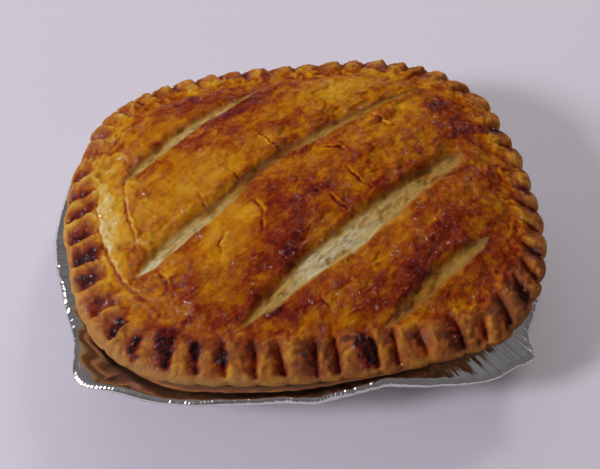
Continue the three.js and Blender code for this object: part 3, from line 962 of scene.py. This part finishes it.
def foil_tray(material):
    """The tray as one thin closed sheet: from the middle of the floor out under the wall and flange,
    round the lip, and back along the inside."""
    degrees = np.arange(TRAY_COLUMNS) * 360 / TRAY_COLUMNS
    shoulder = FLANGE_WIDTH
    foot = FLANGE_WIDTH + WALL_LEAN
    flare = LIP_FLARE + FLARED_LIP["more"] * near(degrees, FLARED_LIP)
    drop = LIP_DROP * (1 - LOW_LIP["share"] * near(degrees, LOW_LIP))
    across = np.linspace(shoulder, FLANGE_EDGE, FLANGE_RINGS)
    under = [tray_ring(degrees, i, FLANGE - FOIL, flange=1, bulge=1 - i / shoulder / 2) for i in across]
    over = [tray_ring(degrees, i, FLANGE, flange=1, bulge=1 - i / shoulder / 2) for i in across[::-1]]
    rings = [
        tray_ring(degrees, foot + FLOOR_RADIUS, 0, bulge=0),
        tray_ring(degrees, foot + 0.9, 0.9, wall=0.3, bulge=0),
        tray_ring(degrees, foot, FLOOR_RADIUS, wall=0.6, bulge=0),
        tray_ring(degrees, foot - 5, 14, wall=0.7, bulge=0.25),
        tray_ring(degrees, shoulder + 0.8, FLANGE - 5.2, wall=0.6, bulge=0.5),
        *under,
        tray_ring(degrees, LIP_FOLD - flare, FLANGE - drop, flange=0.6, rim=0.22),
        tray_ring(degrees, LIP_FOLD / 2 - flare, FLANGE - drop - 0.3, flange=0.6, rim=0.22),
        tray_ring(degrees, 0.1 - flare, FLANGE - drop, flange=0.6, rim=0.25),
        tray_ring(degrees, -0.6 * flare, FLANGE - 0.5 * drop, flange=0.8, rim=0.25),
        tray_ring(degrees, 0, FLANGE - 0.45, flange=1, rim=0.2),
        tray_ring(degrees, 0.35, FLANGE, flange=1, rim=0.1),
        *over,
        tray_ring(degrees, shoulder + 1.2, FLANGE - 5.2, wall=0.6, bulge=0.5),
        tray_ring(degrees, foot - 4.5, 14, wall=0.7, bulge=0.25),
        tray_ring(degrees, foot + FOIL, FLOOR_RADIUS, wall=0.6, bulge=0),
        tray_ring(degrees, foot + FLOOR_RADIUS + FOIL, FOIL, bulge=0),
    ]
    middle = TRAY["middle"]
    mesh = ring_mesh("foil_tray_sheet", rings, (*middle, 0), (*middle, FOIL))
    return piece(mesh, "foil_tray", material)


# Materials

def linear(hex_colour):
    """Linear red, green, blue and alpha of an sRGB hex colour."""
    values = [int(hex_colour[i:i + 2], 16) / 255 for i in (1, 3, 5)]
    return [v / 12.92 if v <= 0.04045 else ((v + 0.055) / 1.055) ** 2.4 for v in values] + [1]


def per(size):
    """Scale of a pattern, from its size in mm."""
    return 1 / (size * MM)


def add(tree, kind, inputs=None, stops=None, **settings):
    """Adds a shader node with its settings, a ramp's stops, and each input set to a value, or linked to
    an output or a node's first output."""
    made = tree.nodes.new("ShaderNode" + kind)
    for key, value in settings.items():
        setattr(made, key, value)
    for key, value in (inputs or {}).items():
        source = value.outputs[0] if isinstance(value, bpy.types.Node) else value
        if isinstance(source, bpy.types.NodeSocket):
            tree.links.new(source, made.inputs[key])
        else:
            made.inputs[key].default_value = source
    for number, (position, colour) in enumerate(stops or ()):
        elements = made.color_ramp.elements
        stop = elements[number] if number < 2 else elements.new(position)
        stop.position = position
        stop.color = linear(colour)
    return made


def new_material(name):
    """A material and its empty node tree."""
    made = bpy.data.materials.new(name)
    made.use_nodes = True
    made.node_tree.nodes.clear()
    return made, made.node_tree


# Colours of skin and bare dough by their browning, the ramp's first and last stop before the others
PASTRY_STOPS = (
    (0.0, "#D8CBA0"),
    (1.0, "#150706"),
    (0.14, "#D4B466"),
    (0.28, "#CC951C"),
    (0.40, "#BC7608"),
    (0.52, "#9F4E04"),
    (0.64, "#832B09"),
    (0.76, "#651809"),
    (0.88, "#440C09"),
)
DOUGH_STOPS = (
    (0.0, "#CBC098"),
    (1.0, "#5A240C"),
    (0.15, "#BCA46C"),
    (0.3, "#B28D49"),
    (0.55, "#98681F"),
    (0.75, "#80430F"),
)


def skin_flakes(tree, place):
    """Clouds of the skin, and its flakes with pulled-about edges, each with a number from 0 to 1."""
    clouds = add(tree, "TexNoise", {"Vector": place, "Scale": per(5), "Detail": 5, "Roughness": 0.7})
    pull = add(tree, "VectorMath", {0: clouds.outputs["Color"], "Scale": 7 * MM}, operation="SCALE")
    bent = add(tree, "VectorMath", {0: place, 1: pull}, operation="ADD")
    flakes = add(tree, "TexVoronoi", {"Vector": bent, "Scale": per(4.5)})
    flake = add(tree, "SeparateColor", {0: flakes.outputs["Color"]})
    return clouds, flake


def skin_colour(tree, place, browning, clouds, flake):
    """Golden to maroon brown, by a browning that shifts in clouds, brush strokes and flakes, more where
    it is browner."""
    brushed = add(tree, "Mapping", {
        "Vector": place, "Rotation": (0, 0, np.radians(STREAK_TURN)), "Scale": (2.2, 1, 1),
    }, vector_type="TEXTURE")
    strokes = add(tree, "TexNoise", {"Vector": brushed, "Scale": per(1.1), "Detail": 5})
    cloudy = add(tree, "Math", {0: clouds, 1: 0.3, 2: -0.32}, operation="MULTIPLY_ADD")
    streaky = add(tree, "Math", {0: strokes, 1: 0.28, 2: cloudy}, operation="MULTIPLY_ADD")
    shift = add(tree, "Math", {0: flake, 1: 0.07, 2: streaky}, operation="MULTIPLY_ADD")
    swing = add(tree, "Math", {0: browning, 1: 3, 2: -0.6}, operation="MULTIPLY_ADD")
    browned = add(tree, "Math", {0: shift, 1: swing, 2: browning}, operation="MULTIPLY_ADD")
    return add(tree, "ValToRGB", {"Fac": browned}, stops=PASTRY_STOPS)


def dough_colour(tree, place, browning):
    """Cream to brown crumb of the bare layers, flecked with darker fibres along the slashes."""
    lengthwise = add(tree, "Mapping", {
        "Vector": place, "Rotation": (0, 0, np.radians(FIBRE_TURN)), "Scale": (2.6, 1, 1),
    }, vector_type="TEXTURE")
    fibres = add(tree, "TexNoise", {"Vector": lengthwise, "Scale": per(1.7), "Detail": 4})
    flecks = add(tree, "MapRange", {"Value": fibres, "From Min": 0.48, "From Max": 0.68, "To Max": 0.6})
    crumb = add(tree, "ValToRGB", {"Fac": browning}, stops=DOUGH_STOPS)
    flecked = add(tree, "Mix", {"Factor": flecks, "A": crumb, "B": linear("#6C6038")}, data_type="RGBA")
    return flecked.outputs["Result"]


def varnish(tree, place, gloss):
    """Baked egg glaze: how much lies on each spot, and its curled pools, which break up what it
    mirrors."""
    spots = add(tree, "TexNoise", {"Vector": place, "Scale": per(2.4), "Detail": 2})
    thick = add(tree, "MapRange", {
        "Value": spots, "From Min": 0.44, "From Max": 0.56, "To Min": 0.06, "To Max": 1,
    })
    weight = add(tree, "Math", {0: gloss, 1: thick}, operation="MULTIPLY")
    pools = add(tree, "TexNoise", {"Vector": place, "Scale": per(4.6), "Detail": 1, "Distortion": 1.5})
    film = add(tree, "Bump", {"Height": pools, "Strength": 1, "Distance": 2.8 * MM})
    return weight, film


def glazed_pastry():
    """Puff pastry brushed with egg and baked: a glossy varnish over golden to maroon brown, floury
    where the glaze is thin, and dull cream crumb where the slashes laid the layers bare."""
    material, tree = new_material("egg_glazed_puff_pastry")
    place = add(tree, "TexCoord").outputs["Object"]
    browning, dough, glaze, gloss = (
        add(tree, "Attribute", attribute_name=look).outputs["Fac"] for look in LOOKS
    )
    clouds, flake = skin_flakes(tree, place)
    skin = skin_colour(tree, place, browning, clouds, flake)
    unglazed = add(tree, "Math", {0: glaze, 1: -0.7, 2: 0.7}, operation="MULTIPLY_ADD")
    floury = add(tree, "Mix", {"Factor": unglazed, "A": skin, "B": linear("#B08650")}, data_type="RGBA")
    shown = add(tree, "Mix", {
        "Factor": dough, "A": floury.outputs["Result"], "B": dough_colour(tree, place, browning),
    }, data_type="RGBA")
    rough = add(tree, "MapRange", {"Value": gloss, "To Min": 0.8, "To Max": 0.42})
    grain = add(tree, "TexNoise", {"Vector": place, "Scale": per(1.5), "Detail": 4, "Roughness": 0.65})
    layers = add(tree, "Math", {0: flake, 1: 0.7, 2: grain}, operation="MULTIPLY_ADD")
    bump = add(tree, "Bump", {"Height": layers, "Strength": 1, "Distance": 0.45 * MM})
    coat, film = varnish(tree, place, gloss)
    shader = add(tree, "BsdfPrincipled", {
        "Base Color": shown.outputs["Result"],
        "Roughness": rough,
        "IOR": 1.45,
        "Specular IOR Level": 0.06,
        "Coat Weight": coat,
        "Coat Roughness": 0.06,
        "Coat IOR": 1.45,
        "Normal": bump,
        "Coat Normal": film,
    })
    add(tree, "OutputMaterial", {"Surface": shader})
    return material


def baked_crust():
    """Short pastry baked without glaze: dull tan, floury and a little rough, browner in clouds."""
    material, tree = new_material("plain_baked_pastry")
    place = add(tree, "TexCoord").outputs["Object"]
    browning = add(tree, "Attribute", attribute_name="browning").outputs["Fac"]
    clouds = add(tree, "TexNoise", {"Vector": place, "Scale": per(3), "Detail": 5, "Roughness": 0.65})
    shift = add(tree, "Math", {0: clouds, 1: 0.24, 2: -0.12}, operation="MULTIPLY_ADD")
    browned = add(tree, "Math", {0: browning, 1: shift}, operation="ADD")
    colour = add(tree, "ValToRGB", {"Fac": browned}, stops=PASTRY_STOPS)
    floury = add(tree, "Mix", {"Factor": 0.4, "A": colour, "B": linear("#9C6A38")}, data_type="RGBA")
    grain = add(tree, "TexNoise", {"Vector": place, "Scale": per(1), "Detail": 4})
    bump = add(tree, "Bump", {"Height": grain, "Strength": 0.4, "Distance": 0.5 * MM})
    shader = add(tree, "BsdfPrincipled", {
        "Base Color": floury.outputs["Result"],
        "Roughness": 0.7,
        "IOR": 1.45,
        "Normal": bump,
    })
    add(tree, "OutputMaterial", {"Surface": shader})
    return material


def bright_foil():
    """Aluminium foil pressed to shape: bright metal with faint dents, which mirrors crust and room in
    broken glints."""
    material, tree = new_material("pressed_aluminium_foil")
    place = add(tree, "TexCoord").outputs["Object"]
    dents = add(tree, "TexNoise", {"Vector": place, "Scale": per(3), "Detail": 3})
    bump = add(tree, "Bump", {"Height": dents, "Strength": 0.2, "Distance": 0.3 * MM})
    shader = add(tree, "BsdfPrincipled", {
        "Base Color": linear("#F6F2EC"),
        "Metallic": 1,
        "Roughness": 0.18,
        "Normal": bump,
    })
    add(tree, "OutputMaterial", {"Surface": shader})
    return material


def pale_board():
    """Smooth painted board of the studio floor: even, pale and matt."""
    material, tree = new_material("matt_painted_board")
    shader = add(tree, "BsdfPrincipled", {"Base Color": linear("#D9D4DA"), "Roughness": 0.6})
    add(tree, "OutputMaterial", {"Surface": shader})
    return material


# Studio

def studio_floor():
    """A plain square board under the tray."""
    corners = [(x * FLOOR_HALF, y * FLOOR_HALF, 0) for x, y in ((-1, -1), (1, -1), (1, 1), (-1, 1))]
    mesh = bpy.data.meshes.new("studio_floor")
    mesh.from_pydata(corners, [], [(0, 1, 2, 3)])
    mesh.materials.append(pale_board())
    made = new_object("studio_floor", mesh)


def facing(made, place, way):
    """Puts a light or the camera at a place, and turns it to look a way."""
    made.location = place
    made.rotation_mode = "QUATERNION"
    made.rotation_quaternion = way.to_track_quat("-Z", "Y")


def soft_light(name, place, size, power, colour, mirrored=True):
    """A square soft box, turned towards the pie. One that isn't mirrored only fills shadows."""
    light = bpy.data.lights.new(name, "AREA")
    light.shape = "SQUARE"
    light.size = size
    light.energy = power
    light.color = linear(colour)[:3]
    made = new_object(name, light)
    made.visible_glossy = mirrored
    facing(made, place, Vector(LIGHT_TARGET) - Vector(place))


def studio_world():
    """Pale room light, dim at the horizon and bright overhead."""
    world = bpy.data.worlds.new("studio_room")
    world.use_nodes = True
    tree = world.node_tree
    background = tree.nodes["Background"]
    background.inputs["Color"].default_value = linear("#E2E0E8")
    direction = add(tree, "TexCoord").outputs["Generated"]
    height = add(tree, "SeparateXYZ", {0: direction}).outputs["Z"]
    strength = add(tree, "MapRange", {"Value": height, "To Min": 0.1, "To Max": 0.2})
    tree.links.new(strength.outputs[0], background.inputs["Strength"])
    bpy.context.scene.world = world


def photograph_camera():
    """The camera at its distance from the target, back along its azimuth and elevation."""
    elevation, azimuth = np.radians(CAMERA_ELEVATION), np.radians(CAMERA_AZIMUTH)
    level = np.cos(elevation)
    back = np.array([np.sin(azimuth) * level, -np.cos(azimuth) * level, np.sin(elevation)])
    target = (np.array(CAMERA_TARGET) + SHIFT) * MM
    data = bpy.data.cameras.new("photograph_camera")
    data.lens = CAMERA_LENS
    data.sensor_width = CAMERA_SENSOR
    data.sensor_fit = "HORIZONTAL"
    made = new_object("photograph_camera", data)
    facing(made, target + back * CAMERA_DISTANCE * MM, Vector(-back))
    bpy.context.scene.camera = made


glazed_lid(glazed_pastry())
base_crust(baked_crust())
foil_tray(bright_foil())

studio_floor()
studio_world()
soft_light("window", (-1.4, -0.35, 1.0), 0.36, 21, "#F4F2FF")
soft_light("far_wall", (-0.2, 1.1, 0.8), 1.2, 5, "#F4F2FF", mirrored=False)
soft_light("ceiling", (0, 0, 1.5), 1.5, 2.8, "#EEEEF4", mirrored=False)
soft_light("lamp", (0.5, 0.75, 0.9), 0.3, 3.2, "#FFF6F0")
photograph_camera()
bpy.context.scene.view_settings.view_transform = "Standard"
